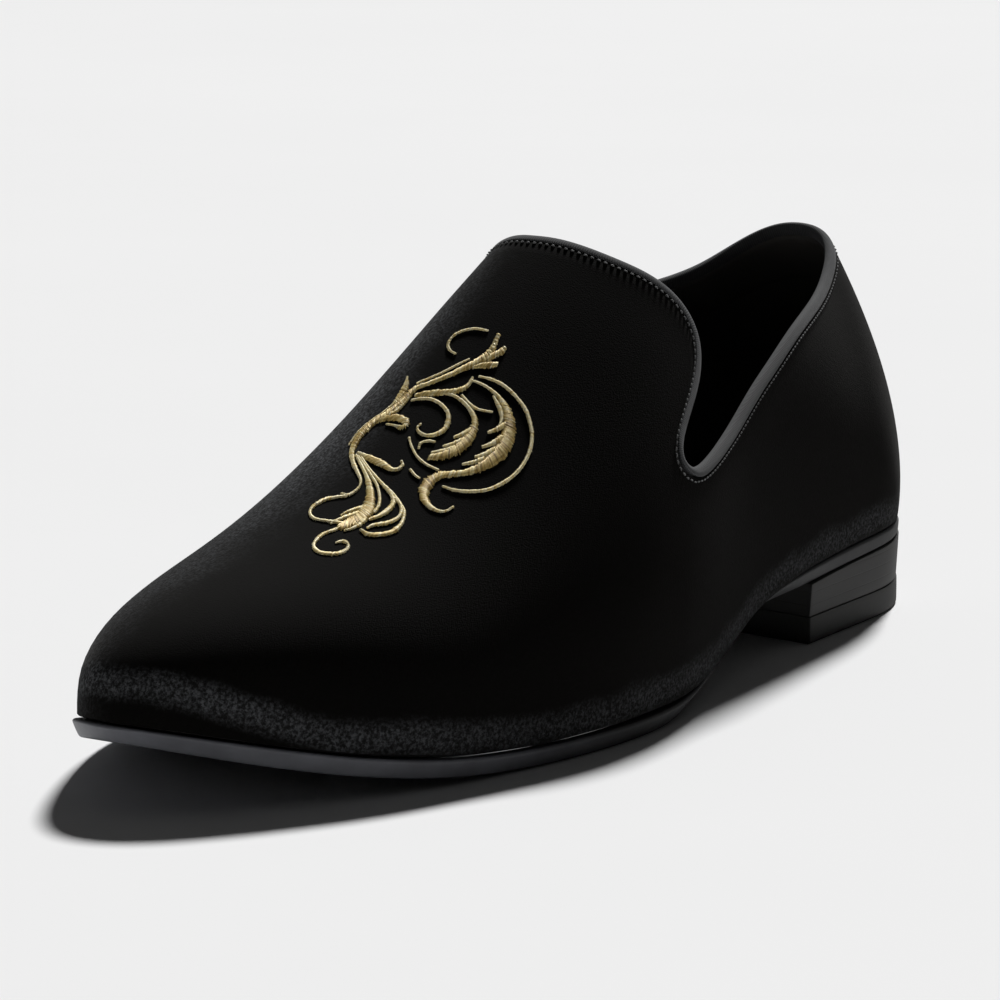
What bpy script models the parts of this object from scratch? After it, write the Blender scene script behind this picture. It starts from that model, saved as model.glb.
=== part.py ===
"""A man's velvet slipper loafer for the left foot, standing empty on its heel and forefoot.

+X runs from heel to toe, +Y to the wearer's left, which is the outer side, and +Z up. The origin is on the
floor under the middle of the heel. Lengths are in metres. The shoe is worked out from the last: a feather
line around the foot's base, and a dome over it whose sections stand across the shoe.
"""

import math
from typing import NamedTuple

import bmesh
import bpy
import numpy as np

# The last and the upper
LENGTH = 0.290  # feather line, back of the heel to the tip of the toe
BALL_WIDTH = 0.097  # feather line, widest point of the outer side to widest point of the inner side
INSTEP_HEIGHT = 0.098  # highest crown of the last over the feather line
WALL = 0.0020  # velvet, backing and lining together
SWELL = 0.0055  # how far the wall over the heel stands out past the feather line
HEEL_ROUND = 0.036  # the last's back starts to round off this far from its end
TOE_ROUND = 0.062  # the last's front starts to taper into the toe this far from its tip
HEEL_ROUNDNESS = 2.25  # 2 rounds the end as an ellipse, and more makes it squarer
TOE_ROUNDNESS = 2.1

# The binding along the topline
BINDING_HEIGHT = 0.0030
BINDING_THICKNESS = 0.0030

# The outsole, heel and insole
SOLE_THICKNESS = 0.0042
SOLE_MARGIN = 0.0012  # how far the forefoot's edge stands out past the feather line
EDGE_BEVEL = 0.0045  # how far the waist's lower edge is cut back under the upper one
EDGE_ROUND = 0.0006  # small rounding along the sole's upper and lower edges
HEEL_HEIGHT = 0.0175  # outsole's underside over the floor, at the back
TOE_SPRING = 0.0146  # outsole's underside over the floor, at the tip
HEEL_LENGTH = 0.070
HEEL_TAPER = 0.0006  # how far the heel's sides and back lean in on their way down
BREAST_HOLLOW = 0.0030  # depth of the hollow across the heel's front face
TOP_PIECE_THICKNESS = 0.0065
TOP_PIECE_MARGIN = 0.0002  # how far the top piece stands out past the heel block
INSOLE_THICKNESS = 0.0026
INSOLE_CLEARANCE = 0.0012  # from the wall, which closes in a little over the feather line
GAP = 0.0003  # seam between neighbouring pieces

# Fineness of the meshes
COLLAR_COLUMNS = 34  # along the topline, from the back to the notch, on each side
TONGUE_COLUMNS = 26  # along the topline, from the notch to the middle of the tongue
WALL_ROWS = 12
ROW_EASE = 1.15  # above 1 sets the wall's rows closer together at its foot
SOLE_STATIONS = 40
HEEL_STATIONS = 16
HOLLOW_POINTS = 5
BINDING_SIDES = 8
FINE = 160  # samples taken along a curve before it is divided evenly


class Section(NamedTuple):
    """A section across the last. Widths are shares of BALL_WIDTH, crown of INSTEP_HEIGHT, swell of SWELL."""

    along: float  # share of LENGTH, from the back
    outer: float  # half width on the outer side, before the ends are rounded off
    inner: float  # half width on the inner side
    crown: float  # height of the crown over the feather line
    fullness: float  # 2 is an ellipse, and more is boxier
    swell: float


SECTIONS = [
    Section(0.000, 0.278, 0.278, 0.814, 1.50, 0.60),
    Section(0.122, 0.306, 0.306, 0.902, 1.44, 0.85),
    Section(0.265, 0.350, 0.299, 0.962, 2.22, 0.66),
    Section(0.377, 0.407, 0.289, 1.000, 2.35, 0.64),
    Section(0.460, 0.474, 0.314, 0.985, 2.25, 0.64),
    Section(0.540, 0.530, 0.361, 0.855, 2.20, 0.60),
    Section(0.634, 0.546, 0.412, 0.655, 2.20, 0.55),
    Section(0.735, 0.510, 0.433, 0.484, 2.30, 0.46),
    Section(0.836, 0.438, 0.392, 0.376, 2.45, 0.40),
    Section(0.923, 0.350, 0.320, 0.306, 2.70, 0.30),
    Section(1.000, 0.289, 0.268, 0.224, 3.00, 0.20),
]


class SoleSection(NamedTuple):
    """A section across the outsole. Each column is a share of the size that it is named for."""

    along: float  # LENGTH
    lift: float  # HEEL_HEIGHT
    spring: float  # TOE_SPRING
    thickness: float  # SOLE_THICKNESS
    margin: float  # SOLE_MARGIN
    bevel: float  # EDGE_BEVEL


SOLE_SECTIONS = [
    SoleSection(0.000, 1.00, 0.00, 0.90, 0.30, 0.05),
    SoleSection(0.122, 0.945, 0.00, 0.90, 0.30, 0.05),
    SoleSection(0.245, 0.825, 0.00, 0.90, 0.00, 0.15),
    SoleSection(0.330, 0.675, 0.00, 0.75, -0.90, 0.90),
    SoleSection(0.410, 0.36, 0.00, 0.75, -0.90, 1.00),
    SoleSection(0.490, 0.085, 0.00, 0.85, 0.00, 0.60),
    SoleSection(0.550, 0.00, 0.00, 1.00, 0.80, 0.25),
    SoleSection(0.695, 0.00, 0.00, 1.00, 1.00, 0.20),
    SoleSection(0.775, 0.00, 0.06, 1.00, 1.00, 0.20),
    SoleSection(0.855, 0.00, 0.25, 1.00, 1.00, 0.20),
    SoleSection(0.930, 0.00, 0.58, 1.00, 1.00, 0.20),
    SoleSection(1.000, 0.00, 1.00, 0.80, 1.00, 0.35),
]


class EdgePoint(NamedTuple):
    """A point of the topline. Rise is the share of the way up the section, from feather line to crown."""

    along: float  # share of LENGTH
    rise: float


# From the collar's side down to the notch, and from the notch up the tongue to its middle. The collar's back
# stands at BACK_RISE, level across the heel.
BACK_RISE = 0.69
COLLAR = {
    +1: [EdgePoint(0.120, 0.602), EdgePoint(0.238, 0.420), EdgePoint(0.354, 0.311), EdgePoint(0.446, 0.296),
         EdgePoint(0.487, 0.322)],
    -1: [EdgePoint(0.120, 0.586), EdgePoint(0.238, 0.430), EdgePoint(0.354, 0.332), EdgePoint(0.441, 0.315),
         EdgePoint(0.484, 0.335)],
}
TONGUE = {
    +1: [EdgePoint(0.493, 0.347), EdgePoint(0.480, 0.366), EdgePoint(0.444, 0.394), EdgePoint(0.419, 0.442),
         EdgePoint(0.414, 0.500), EdgePoint(0.424, 0.590), EdgePoint(0.453, 0.740), EdgePoint(0.470, 1.0)],
    -1: [EdgePoint(0.489, 0.355), EdgePoint(0.475, 0.372), EdgePoint(0.442, 0.396), EdgePoint(0.419, 0.442),
         EdgePoint(0.414, 0.500), EdgePoint(0.424, 0.590), EdgePoint(0.453, 0.740), EdgePoint(0.470, 1.0)],
}
NOTCH_FOOT = 0.54  # the wall's columns split here on the feather line, as they do at the notch above
FOOT_EASE = 0.65  # below 1 spreads the tongue's first columns forwards, so that they come up in front of its edge
OUTER, INNER = +1, -1


def cubic(knots, values, slopes, at):
    """Cubic curve through the knots with the given slopes there."""
    at = np.clip(at, knots[0], knots[-1])
    i = np.clip(np.searchsorted(knots, at, side="right") - 1, 0, len(knots) - 2)
    span = knots[i + 1] - knots[i]
    t = (at - knots[i]) / span
    return (
        (2 * t**3 - 3 * t**2 + 1) * values[i]
        + (t**3 - 2 * t**2 + t) * span * slopes[i]
        + (3 * t**2 - 2 * t**3) * values[i + 1]
        + (t**3 - t**2) * span * slopes[i + 1]
    )


def fair_slopes(knots, values):
    """Slopes of the natural spline, whose bend is continuous."""
    n = len(knots)
    span = np.diff(knots)
    grade = np.diff(values) / span
    system = np.zeros((n, n))
    wanted = np.zeros(n)
    system[0, :2] = 2, 1
    system[-1, -2:] = 1, 2
    wanted[0], wanted[-1] = 3 * grade[0], 3 * grade[-1]
    for i in range(1, n - 1):
        system[i, i - 1 : i + 2] = span[i], 2 * (span[i - 1] + span[i]), span[i - 1]
        wanted[i] = 3 * (span[i] * grade[i - 1] + span[i - 1] * grade[i])
    return np.linalg.solve(system, wanted)


def level_slopes(knots, values):
    """Slopes that never swing past a row, so that a flat stretch stays flat."""
    grade = np.diff(values) / np.diff(knots)
    slopes = np.zeros(len(knots))
    slopes[0], slopes[-1] = grade[0], grade[-1]
    for i in range(1, len(knots) - 1):
        if grade[i - 1] * grade[i] > 0:
            slopes[i] = 2 * grade[i - 1] * grade[i] / (grade[i - 1] + grade[i])
    return slopes


def column(table, name, x, slopes_of):
    """A column of a table of sections as a smooth function of x."""
    knots = np.array([row.along for row in table])
    values = np.array([getattr(row, name) for row in table])
    return cubic(knots, values, slopes_of(knots, values), np.asarray(x, float) / LENGTH)


def last(name, x):
    return column(SECTIONS, name, x, fair_slopes)


def sole(name, x):
    return column(SOLE_SECTIONS, name, x, level_slopes)


def underside(x):
    """Height of the outsole's underside over the floor."""
    return HEEL_HEIGHT * sole("lift", x) + TOE_SPRING * sole("spring", x)


def seat(x):
    """Height of the outsole's upper face, which is the feather line's height."""
    return underside(x) + SOLE_THICKNESS * sole("thickness", x)


def half_width(x, side):
    return BALL_WIDTH * np.where(np.asarray(side) > 0, last("outer", x), last("inner", x))


def end_share(x):
    """How far x is into a rounded end, from 0 to 1 at the tip, and that end's roundness."""
    into_heel = (HEEL_ROUND - x) / HEEL_ROUND
    into_toe = (x - LENGTH + TOE_ROUND) / TOE_ROUND
    share = np.clip(np.maximum(into_heel, into_toe), 0, 1)
    return share, np.where(into_heel > into_toe, HEEL_ROUNDNESS, TOE_ROUNDNESS)


def width_at(x, side, size=1.0):
    """Half width of the plan outline, drawn in to a share of its full size."""
    share, roundness = end_share(x)
    return half_width(x, side) * np.clip(size**roundness - share**roundness, 0, None) ** (1 / roundness)


def outline(xs, side):
    """The feather line's plan points on one side."""
    return np.stack([xs, side * width_at(xs, side)], axis=1)


def size_at(rise, x):
    """Plan size of the dome at a share of the way up its section."""
    return np.cos(rise * math.pi / 2) ** (2 / last("fullness", x))


def dome(plan):
    """The last's surface over plan points, before its wall swells."""
    x, y = plan[:, 0], plan[:, 1]
    side = np.where(y >= 0, OUTER, INNER)
    share, roundness = end_share(x)
    size = ((np.abs(y) / half_width(x, side)) ** roundness + share**roundness) ** (1 / roundness)
    fullness = last("fullness", x)
    height = np.clip(1 - np.clip(size, 0, 1) ** fullness, 0, None) ** (1 / fullness)
    z = seat(x) + GAP + INSTEP_HEIGHT * last("crown", x) * height
    return np.column_stack([x, y, z]), height


def swelled(plan):
    """The last's surface over plan points, with the swell of heel, waist and ball pushed outwards."""
    points, height = dome(plan)
    x, y = plan[:, 0], plan[:, 1]
    side = np.where(y >= 0, OUTER, INNER)
    share, roundness = end_share(x)
    across = np.abs(y) / half_width(x, side)
    end = np.where(x < LENGTH / 2, -1 / HEEL_ROUND, 1 / TOE_ROUND)
    outward_x = end * share ** (roundness - 1)
    outward_y = np.sign(y) * across ** (roundness - 1) / half_width(x, side)
    length = np.hypot(outward_x, outward_y) + 1e-9
    shape = 4.2 * height * (1 - height) ** 1.6
    near_wall = np.clip((across + share) / 0.5, 0, 1)
    push = SWELL * last("swell", x) * shape * near_wall / length
    points[:, 0] += push * outward_x
    points[:, 1] += push * outward_y
    return points


def divided(path, shares):
    """Points at the given shares of a path's length."""
    steps = np.linalg.norm(np.diff(path, axis=0), axis=1)
    run = np.concatenate([[0], np.cumsum(steps)])
    wanted = np.asarray(shares) * run[-1]
    return np.column_stack([np.interp(wanted, run, path[:, k]) for k in range(path.shape[1])])


def eased(rows, samples):
    """A smooth curve through rows of coordinates, spaced by their distances."""
    run = np.concatenate([[0], np.cumsum(np.linalg.norm(np.diff(rows, axis=0), axis=1))])
    at = np.linspace(0, run[-1], samples)
    return np.column_stack([cubic(run, rows[:, k], fair_slopes(run, rows[:, k]), at) for k in range(rows.shape[1])])


def topline(side):
    """Plan points of the topline on one side, from the collar's back through the notch to the tongue's middle,
    and the share of its length at which the notch lies."""
    back_x = 0.0
    for _ in range(30):  # closes in on the place where the rounded end has that rise
        back_x = HEEL_ROUND * (1 - size_at(BACK_RISE, back_x))
    rows = [(back_x / LENGTH, BACK_RISE)] + [(p.along, p.rise) for p in COLLAR[side] + TONGUE[side]]
    path = eased(np.array(rows), FINE * 4)
    x, rise = LENGTH * path[:, 0], np.clip(path[:, 1], 0, 1)
    y = side * width_at(x, side, size_at(rise, x))
    y[0] = y[-1] = 0.0
    plan = np.column_stack([x, y])
    skin = swelled(plan)
    run = np.concatenate([[0], np.cumsum(np.linalg.norm(np.diff(skin, axis=0), axis=1))])
    lowest = np.argmax(x)
    return plan, run / run[-1], run[lowest] / run[-1]


def wall_columns(side):
    """Plan points of the wall's columns on one side: their foot on the feather line, and their head."""
    head, run, notch = topline(side)
    at_head = np.concatenate([
        np.linspace(0, notch, COLLAR_COLUMNS, endpoint=False),
        np.linspace(notch, 1, TONGUE_COLUMNS + 1),
    ])
    heads = np.column_stack([np.interp(at_head, run, head[:, k]) for k in range(2)])
    turn = (1 - np.cos(np.linspace(0, math.pi, FINE * 4))) / 2
    base = outline(LENGTH * turn, side)
    steps = np.linalg.norm(np.diff(base, axis=0), axis=1)
    run = np.concatenate([[0], np.cumsum(steps)]) / steps.sum()
    split = np.interp(NOTCH_FOOT, turn, run)
    at_foot = np.concatenate([
        np.linspace(0, split, COLLAR_COLUMNS, endpoint=False),
        split + (1 - split) * np.linspace(0, 1, TONGUE_COLUMNS + 1) ** FOOT_EASE,
    ])
    feet = np.column_stack([np.interp(at_foot, run, base[:, k]) for k in range(2)])
    return feet, heads


def around(outer_side, inner_side):
    """One closed run of columns: back to toe on the outer side, and toe to back on the inner side."""
    return np.concatenate([outer_side, inner_side[-2:0:-1]])


def wall_paths():
    """The wall's columns as dense lines on the last, each from the feather line to the topline."""
    outer_feet, outer_heads = wall_columns(OUTER)
    inner_feet, inner_heads = wall_columns(INNER)
    feet, heads = around(outer_feet, inner_feet), around(outer_heads, inner_heads)
    steps = np.linspace(0, 1, FINE)[:, None] ** 3
    return [swelled(foot + (head - foot) * steps) for foot, head in zip(feet, heads)]


def loop_directions(loop):
    """Unit tangents of a closed loop of points."""
    tangent = np.roll(loop, -1, axis=0) - np.roll(loop, 1, axis=0)
    return tangent / np.linalg.norm(tangent, axis=1, keepdims=True)


def rim_frames(paths):
    """At each column's head: the topline's point, the direction up the wall, and the wall's outward normal."""
    heads = np.array([path[-1] for path in paths])
    tangent = loop_directions(heads)
    climb = np.array([path[-1] - divided(path, [0.97])[0] for path in paths])
    normal = np.cross(climb, tangent)
    normal /= np.linalg.norm(normal, axis=1, keepdims=True)
    from_middle = heads - [LENGTH * 0.3, 0, HEEL_HEIGHT]
    normal *= np.sign((normal * from_middle).sum(axis=1, keepdims=True))
    return heads, np.cross(tangent, normal), normal


def wall_rings(paths):
    """The upper's outer skin as closed rings, from the feather line to just under the binding."""
    dense = np.concatenate([topline(OUTER)[0], topline(INNER)[0][::-1]])
    edge = swelled(dense)
    grid = []
    for path in paths:
        from_edge = np.array([np.sqrt(((edge - point) ** 2).sum(axis=1).min()) for point in path])
        last_in = np.flatnonzero(from_edge >= BINDING_HEIGHT + GAP)[-1]
        near, far = from_edge[last_in + 1], from_edge[last_in]
        part = (far - BINDING_HEIGHT - GAP) / (far - near)
        end = path[last_in] + part * (path[last_in + 1] - path[last_in])
        kept = np.vstack([path[: last_in + 1], end])
        grid.append(divided(kept, np.linspace(0, 1, WALL_ROWS + 1) ** ROW_EASE))
    return np.array(grid).transpose(1, 0, 2)


def inner_rings(rings):
    """The upper's inner skin, WALL inside the outer one. Its foot stays on the sole's upper face."""
    along = np.roll(rings, -1, axis=1) - np.roll(rings, 1, axis=1)
    upward = np.gradient(rings, axis=0)
    normal = np.cross(along, upward)
    normal[0, :, 2] = 0
    normal /= np.linalg.norm(normal, axis=2, keepdims=True)
    inner = rings + WALL * normal
    inner[0, :, 2] = seat(inner[0, :, 0]) + GAP
    return inner


def make_object(name, shape, material):
    """Turns a bmesh into a smooth-shaded object."""
    mesh = bpy.data.meshes.new(name)
    shape.to_mesh(mesh)
    shape.free()
    mesh.materials.append(material)
    mesh.shade_smooth()
    mesh.set_sharp_from_angle(angle=math.radians(40))
    made = bpy.data.objects.new(name, mesh)
    bpy.context.scene.collection.objects.link(made)
    return made


def lofted(rings, closed=False):
    """A skin through rings of equally many points. A closed loft joins its last ring to its first."""
    shape = bmesh.new()
    rows = [[shape.verts.new(point) for point in ring] for ring in rings]
    pairs = list(zip(rows, rows[1:] + rows[:1] if closed else rows[1:]))
    for low, high in pairs:
        for i in range(len(low)):
            j = (i + 1) % len(low)
            shape.faces.new((low[i], low[j], high[j], high[i]))
    return shape, rows


def capped(rings, stations):
    """A solid through rings that run up one side, across the front and back down the other. Its first and last
    rings are closed by strips across the shoe, with one strip for each step between stations."""
    shape, rows = lofted(rings)
    for row, turned in ((rows[0], True), (rows[-1], False)):
        count = len(row)
        for i in range(stations - 1):
            face = [row[i], row[i + 1], row[count - i - 1], row[(count - i) % count]]
            if i == 0:
                face = [row[0], row[1], row[count - 1]]
            if i == stations - 2:
                face = row[i : count - i + 1]
            shape.faces.new(face[::-1] if turned else face)
    bmesh.ops.recalc_face_normals(shape, faces=shape.faces)
    return shape


def painted(name, colour, roughness, sheen=0.0):
    material = bpy.data.materials.new(name)
    material.use_nodes = True
    shader = material.node_tree.nodes["Principled BSDF"]
    shader.inputs["Base Color"].default_value = (*colour, 1)
    shader.inputs["Roughness"].default_value = roughness
    shader.inputs["Metallic"].default_value = 0.0
    shader.inputs["Sheen Weight"].default_value = sheen
    return material


def station_run(end, count):
    """Stations from the back to an end, closer together where the outline turns round an end."""
    turn = math.pi if end >= LENGTH else math.pi / 2
    t = np.linspace(0, turn, count)
    return end * (1 - np.cos(t)) / (1 - math.cos(turn))


def offset_outline(xs, side, offset):
    """The feather line's plan points on one side, moved outwards by an offset for each point."""
    points = outline(xs, side)
    ahead = np.gradient(points, axis=0)
    if xs[0] <= 0:
        ahead[0] = (0, side)
    if xs[-1] >= LENGTH:
        ahead[-1] = (0, -side)
    ahead /= np.linalg.norm(ahead, axis=1, keepdims=True)
    outward = side * np.column_stack([-ahead[:, 1], ahead[:, 0]])
    return points + outward * np.broadcast_to(offset, len(xs))[:, None]


def full_ring(xs, offset, height):
    """A ring round the whole sole at an offset from the feather line. Both sides' points share their x."""
    outer_side = offset_outline(xs, OUTER, offset)
    inner_side = offset_outline(xs, INNER, offset)
    inner_side[:, 0] = outer_side[:, 0]
    plan = around(outer_side, inner_side)
    return np.column_stack([plan, height(plan[:, 0])])


def heel_ring(xs, offset, height):
    """A ring round the heel: its outer side, its hollow breast and its inner side."""
    outer_side = offset_outline(xs, OUTER, offset)
    inner_side = offset_outline(xs, INNER, offset)
    inner_side[:, 0] = outer_side[:, 0]
    corner, other = outer_side[-1], inner_side[-1]
    across = np.linspace(0, 1, HOLLOW_POINTS + 2)[1:-1, None]
    breast = corner + (other - corner) * across
    breast[:, 0] -= BREAST_HOLLOW * (1 - (2 * across[:, 0] - 1) ** 2)
    plan = np.concatenate([outer_side, breast, inner_side[:0:-1]])
    return np.column_stack([plan, height(plan[:, 0])])


def make_upper(paths, velvet):
    outer_skin = wall_rings(paths)
    inner_skin = inner_rings(outer_skin)
    shape, _ = lofted([*outer_skin, *inner_skin[::-1]], closed=True)
    bmesh.ops.recalc_face_normals(shape, faces=shape.faces)
    return make_object("upper", shape, velvet)


def make_binding(paths, ribbon):
    """A rounded bead that closes the upper's rim, lying over the middle of the wall's thickness."""
    heads, up, normal = rim_frames(paths)
    centre = heads - up * BINDING_HEIGHT / 2 - normal * WALL / 2
    rings = []
    for k in range(BINDING_SIDES):
        turn = 2 * math.pi * k / BINDING_SIDES
        rings.append(centre + up * BINDING_HEIGHT / 2 * math.sin(turn) + normal * BINDING_THICKNESS / 2 * math.cos(turn))
    shape, _ = lofted(rings, closed=True)
    bmesh.ops.recalc_face_normals(shape, faces=shape.faces)
    return make_object("topline_binding", shape, ribbon)


def make_outsole(leather):
    """A close-cut sole whose edge is rounded, and cut back underneath at the waist."""
    xs = station_run(LENGTH, SOLE_STATIONS)
    margin = SOLE_MARGIN * sole("margin", xs)
    bevel = EDGE_BEVEL * sole("bevel", xs)
    rings = [
        full_ring(xs, margin - bevel - EDGE_ROUND, underside),
        full_ring(xs, margin - bevel, lambda x: underside(x) + EDGE_ROUND),
        full_ring(xs, margin, lambda x: seat(x) - EDGE_ROUND),
        full_ring(xs, margin - EDGE_ROUND, seat),
    ]
    return make_object("outsole", capped(rings, SOLE_STATIONS), leather)


def make_heel_block(leather):
    xs = station_run(HEEL_LENGTH, HEEL_STATIONS)
    margin = SOLE_MARGIN * sole("margin", xs)
    rings = [
        heel_ring(xs, margin - HEEL_TAPER, lambda x: np.full_like(x, TOP_PIECE_THICKNESS + GAP)),
        heel_ring(xs, margin, lambda x: underside(x) - GAP),
    ]
    return make_object("heel_block", capped(rings, HEEL_STATIONS), leather)


def make_top_piece(rubber):
    xs = station_run(HEEL_LENGTH, HEEL_STATIONS)
    margin = SOLE_MARGIN * sole("margin", xs) - HEEL_TAPER + TOP_PIECE_MARGIN
    rings = [
        heel_ring(xs, margin - EDGE_ROUND, lambda x: np.zeros_like(x)),
        heel_ring(xs, margin, lambda x: np.full_like(x, EDGE_ROUND)),
        heel_ring(xs, margin, lambda x: np.full_like(x, TOP_PIECE_THICKNESS)),
    ]
    return make_object("heel_top_piece", capped(rings, HEEL_STATIONS), rubber)


def make_insole(sock):
    """The covered insole, lying on the outsole inside the upper's wall."""
    xs = station_run(LENGTH, SOLE_STATIONS)
    inside = -(WALL + INSOLE_CLEARANCE)
    rings = [
        full_ring(xs, inside, lambda x: seat(x) + GAP),
        full_ring(xs, inside, lambda x: seat(x) + GAP + INSOLE_THICKNESS - EDGE_ROUND),
        full_ring(xs, inside - EDGE_ROUND, lambda x: seat(x) + GAP + INSOLE_THICKNESS),
    ]
    return make_object("insole", capped(rings, SOLE_STATIONS), sock)


def build():
    for old in list(bpy.data.objects):
        bpy.data.objects.remove(old)
    velvet = painted("black velvet", (0.008, 0.008, 0.009), 0.9, sheen=0.4)
    ribbon = painted("grosgrain binding", (0.035, 0.035, 0.037), 0.6)
    edge_black = painted("dressed sole leather", (0.022, 0.022, 0.024), 0.35)
    rubber = painted("heel rubber", (0.015, 0.015, 0.015), 0.6)
    sock = painted("sock lining", (0.012, 0.012, 0.012), 0.7)
    paths = wall_paths()
    pieces = [
        make_upper(paths, velvet),
        make_binding(paths, ribbon),
        make_outsole(edge_black),
        make_heel_block(edge_black),
        make_top_piece(rubber),
        make_insole(sock),
    ]
    shoe = bpy.data.objects.new("shoe", None)
    bpy.context.scene.collection.objects.link(shoe)
    shoe.location = (-HEEL_LENGTH / 2, 0, 0)
    for piece in pieces:
        piece.parent = shoe


build()
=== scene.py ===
"""A velvet slipper loafer for the left foot, with scroll embroidery on its vamp, standing on a pale studio floor.

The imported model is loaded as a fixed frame. Each section then makes one piece of the shoe, in the order in which a
shoemaker puts it together. Lengths are in metres, +X points to the toe, +Y to the outer side and +Z up.
"""

import math

import bmesh
import bpy
import numpy as np
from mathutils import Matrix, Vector
from mathutils.bvhtree import BVHTree


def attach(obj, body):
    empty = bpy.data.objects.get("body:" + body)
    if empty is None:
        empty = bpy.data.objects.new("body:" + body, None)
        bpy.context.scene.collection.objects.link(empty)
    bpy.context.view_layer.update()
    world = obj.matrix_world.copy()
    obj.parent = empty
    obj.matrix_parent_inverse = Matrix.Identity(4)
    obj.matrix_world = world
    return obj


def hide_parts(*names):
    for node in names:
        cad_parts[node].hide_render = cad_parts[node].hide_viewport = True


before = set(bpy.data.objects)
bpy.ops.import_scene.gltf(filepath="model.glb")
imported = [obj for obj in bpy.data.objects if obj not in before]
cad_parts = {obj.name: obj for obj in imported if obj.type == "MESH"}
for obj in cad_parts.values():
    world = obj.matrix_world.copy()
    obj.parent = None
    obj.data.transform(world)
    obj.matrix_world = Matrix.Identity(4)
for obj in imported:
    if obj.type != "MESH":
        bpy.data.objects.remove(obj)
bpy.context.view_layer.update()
bpy.ops.object.select_all(action="DESELECT")

# --- Velvet upper ----------------------------------------------------------------------------------------------------
# The one-piece upper, of black cotton velvet on a thin backing. It is closed at the heel, pulled over the last and
# cemented under the insole's edge, so its foot vanishes between insole and sole. The pile is nearly black. Its colour
# carries painted sheen, pale flecks that stand in for light grazing the pile: in a band above the sole, and in a band
# along the inner side of the vamp's ridge.

WELD = 1e-6  # points closer than this are one
SHARP = math.radians(35)  # an edge that bends more than this is a corner
COLUMNS = 120  # of points round the foot, in the upper and in the binding
RIM = 12  # the row of points at the rim, counted up from the foot, on either face of the wall
WALL_CORNERS = (0, RIM, RIM + 1, 2 * RIM + 1)  # the rows at the corners of a wall of two faces
BACKING_SHARE = 0.48  # of the wall, which the velvet takes. The lining takes the rest.
RIM_LIFT = 0.0004
CREASE = 0.9
NAP_LENGTH = 0.0003
NAP_STRENGTH = 0.45
# The two painted sheen bands of the velvet's base colour, one above the sole and one along the vamp's ridge:
SHEEN_BAND_MIDDLE = 0.0034  # height above the foot of the wall
SHEEN_BAND_RISE = 0.0055  # what the toe adds to it
SHEEN_BAND_REACH = 0.0052  # half its height
SHEEN_BAND_WAVER = 0.005
RIDGE_SHEEN_WAVER = 0.014


def sharp_ring(shape):
    """A closed run of sharp edges once round the foot. Where more than one goes on, it takes the straightest."""
    sharp = [e for e in shape.edges if e.calc_face_angle(0) > SHARP]
    beyond = {v: [] for v in shape.verts}
    for edge in sharp:
        for v in edge.verts:
            beyond[v].append(edge.other_vert(v))
    for edge in sharp:
        ring = list(edge.verts)
        while len(ring) <= COLUMNS:
            last, here = ring[-2:]
            onward = [v for v in beyond[here] if v is not last]
            if not onward:
                break
            heading = (here.co - last.co).normalized()
            ring.append(max(onward, key=lambda v: (v.co - here.co).normalized().dot(heading)))
        if len(set(ring)) == COLUMNS and ring[-1] is ring[0]:
            return ring[:-1]


def skin_rows(node):
    """A CAD skin that closes on itself both ways, as rows of points, each of which runs once round the foot."""
    shape = bmesh.new()
    shape.from_mesh(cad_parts[node].data)
    bmesh.ops.remove_doubles(shape, verts=shape.verts, dist=WELD)
    beside = {v: {e.other_vert(v) for e in v.link_edges} for v in shape.verts}
    rings = [sharp_ring(shape)]
    taken = set(rings[0])
    while len(taken) < len(shape.verts):
        level = set().union(*(beside[v] for v in rings[-1])) - taken
        last = rings[-1]
        choices = []
        for first in beside[last[0]] & level:
            for second in beside[first] & level:
                ring = [first, second]
                while len(ring) < COLUMNS:
                    ring.append((beside[ring[-1]] & level - {ring[-2]}).pop())
                if all(high in beside[low] for low, high in zip(last, ring)):
                    steps = sum((low.co - high.co).length for low, high in zip(last, ring))
                    choices.append((steps, len(choices), ring))
        rings.append(min(choices)[2])
        taken.update(rings[-1])
    rows = np.array([[v.co[:] for v in ring] for ring in rings])
    shape.free()
    rows = np.roll(rows, -int(rows[:, :, 0].mean(axis=0).argmin()), axis=1)
    if rows[:, COLUMNS // 12, 1].mean() < 0:
        rows = np.roll(rows[:, ::-1], 1, axis=1)
    return rows


def from_outer_foot(rows):
    """Turns the rows so that they run from the outer foot up to the rim, and back down inside."""
    count = len(rows)
    gaps = np.linalg.norm(np.roll(rows, -1, axis=0) - rows, axis=2).mean(axis=1)
    low = min(np.argsort(gaps)[:2], key=lambda j: rows[j, :, 2].mean())
    above = (low + 1) % count
    if np.ptp(rows[above, :, 0]) > np.ptp(rows[low, :, 0]):
        return np.roll(rows, -above, axis=0)
    return np.roll(rows[::-1], low + 1, axis=0)


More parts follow.
